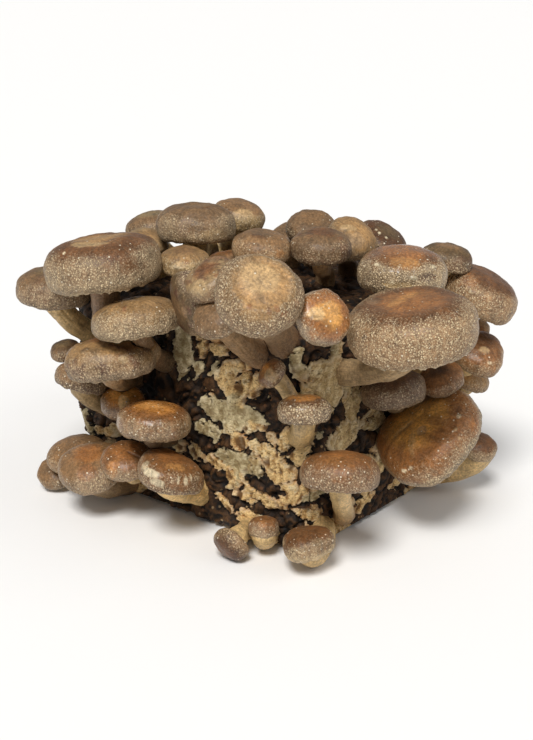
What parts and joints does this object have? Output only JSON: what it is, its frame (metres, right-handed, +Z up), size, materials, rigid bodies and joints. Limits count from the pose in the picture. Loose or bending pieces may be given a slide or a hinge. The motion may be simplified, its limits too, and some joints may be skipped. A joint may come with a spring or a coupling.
{
  "type": "shiitake fruiting block",
  "caption": "Squat block of colonised sawdust with brown shiitake mushrooms fruiting from its top, sides and foot; stands on its flat underside.",
  "frame": {"origin": "middle of the block's flat underside", "axes": "+Z up; the block's upright sides face +X, -X, +Y and -Y, and the front corner seen in the picture is the one between +X and -Y"},
  "size_m": [0.2886, 0.2682, 0.1613],
  "materials": {
    "substrate_skin": "damp dark brown skin with cream and grey-white mycelium plates",
    "mushroom_brown": "matt brown cap with pale frosted fibrils and scales, cream gills and fibrous stem",
    "mushroom_glossy_orange": "damp glossy orange-brown cap with pale rim flecks, cream gills and fibrous stem"
  },
  "bodies": {
    "root": {"mushroom_back_foot_bud": "mushroom_brown", "mushroom_back_high": "mushroom_brown", "mushroom_back_high_inner": "mushroom_brown", "mushroom_back_low": "mushroom_brown", "mushroom_back_low_broad": "mushroom_brown", "mushroom_back_right_small": "mushroom_brown", "mushroom_centre_broad": "mushroom_brown", "mushroom_centre_glossy": "mushroom_glossy_orange", "mushroom_far_left": "mushroom_brown", "mushroom_far_right": "mushroom_brown", "mushroom_foot_front_lobed": "mushroom_brown", "mushroom_foot_front_pair": "mushroom_brown", "mushroom_foot_front_sideways": "mushroom_brown", "mushroom_foot_left_inner": "mushroom_brown", "mushroom_foot_left_kidney": "mushroom_brown", "mushroom_foot_left_outer": "mushroom_brown", "mushroom_foot_left_rear": "mushroom_brown", "mushroom_foot_left_thick": "mushroom_brown", "mushroom_front_bent": "mushroom_glossy_orange", "mushroom_front_ringed": "mushroom_glossy_orange", "mushroom_front_speckled": "mushroom_brown", "mushroom_left_bud": "mushroom_brown", "mushroom_left_glossy_front": "mushroom_glossy_orange", "mushroom_left_glossy_small": "mushroom_glossy_orange", "mushroom_left_shelf_high": "mushroom_brown", "mushroom_left_shelf_mid": "mushroom_brown", "mushroom_left_tucked": "mushroom_brown", "mushroom_rear_left_corner": "mushroom_brown", "mushroom_rear_left_high": "mushroom_brown", "mushroom_rear_left_low": "mushroom_brown", "mushroom_rear_left_small": "mushroom_brown", "mushroom_right_broadest": "mushroom_brown", "mushroom_right_bud": "mushroom_brown", "mushroom_right_glossy_torn": "mushroom_glossy_orange", "mushroom_right_heart": "mushroom_brown", "mushroom_right_outer_low": "mushroom_brown", "mushroom_right_outer_mid": "mushroom_brown", "mushroom_right_rear_high": "mushroom_brown", "mushroom_right_shaded": "mushroom_brown", "mushroom_right_shaded_small": "mushroom_brown", "mushroom_right_stout_stem": "mushroom_brown", "mushroom_shoulder_grey": "mushroom_brown", "mushroom_shoulder_leaning": "mushroom_brown", "mushroom_shoulder_sideways": "mushroom_brown", "mushroom_top_centre": "mushroom_brown", "mushroom_top_dark_rear": "mushroom_brown", "mushroom_top_dome": "mushroom_brown", "mushroom_top_dome_left": "mushroom_brown", "mushroom_top_golden_stem": "mushroom_brown", "mushroom_top_left_crown": "mushroom_brown", "mushroom_top_left_ochre": "mushroom_brown", "mushroom_top_left_rear": "mushroom_brown", "mushroom_top_left_small": "mushroom_brown", "mushroom_top_pale": "mushroom_brown", "mushroom_top_rear_crown": "mushroom_brown", "mushroom_top_reddish": "mushroom_brown", "mushroom_upper_left_broad": "mushroom_brown", "substrate_block": "substrate_skin"}
  },
  "joints": []
}
